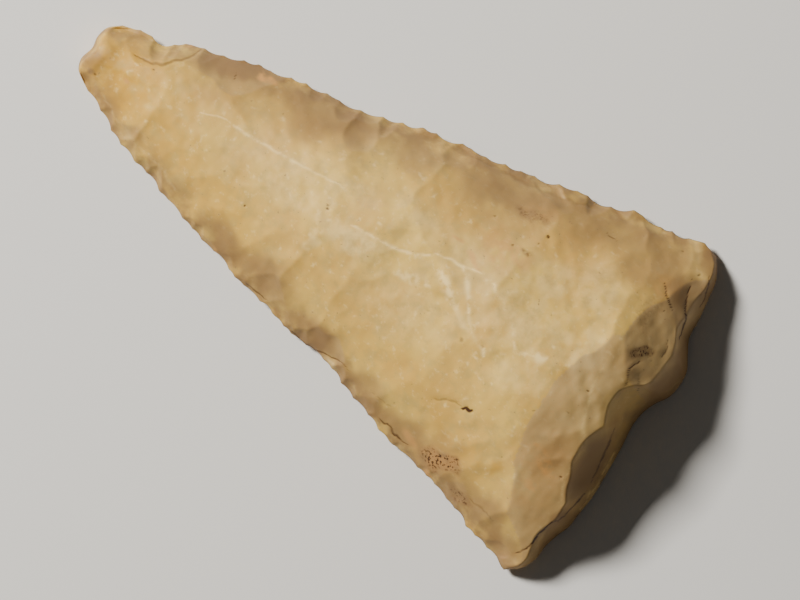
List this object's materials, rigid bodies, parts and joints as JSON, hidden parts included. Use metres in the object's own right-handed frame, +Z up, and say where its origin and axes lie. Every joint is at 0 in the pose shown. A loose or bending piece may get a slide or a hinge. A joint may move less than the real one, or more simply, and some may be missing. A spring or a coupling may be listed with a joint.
{
  "type": "stone gouge",
  "caption": "Flaked flint gouge, triangular in plan, flat below and domed above, with a pointed poll and a wide steep hollow-fluted working bit.",
  "frame": {"origin": "centre of the footprint, on the surface that the flat face lies on", "axes": "+X from the narrow poll to the wide bit, +Y across the tool, +Z up out of the flaked dome"},
  "size_m": [0.091, 0.0516, 0.0157],
  "materials": {
    "flint": "honey and tan flint, flaked, with a waxy dull gloss, browner along the edges"
  },
  "bodies": {
    "root": {"stone_gouge": "flint"}
  },
  "joints": []
}
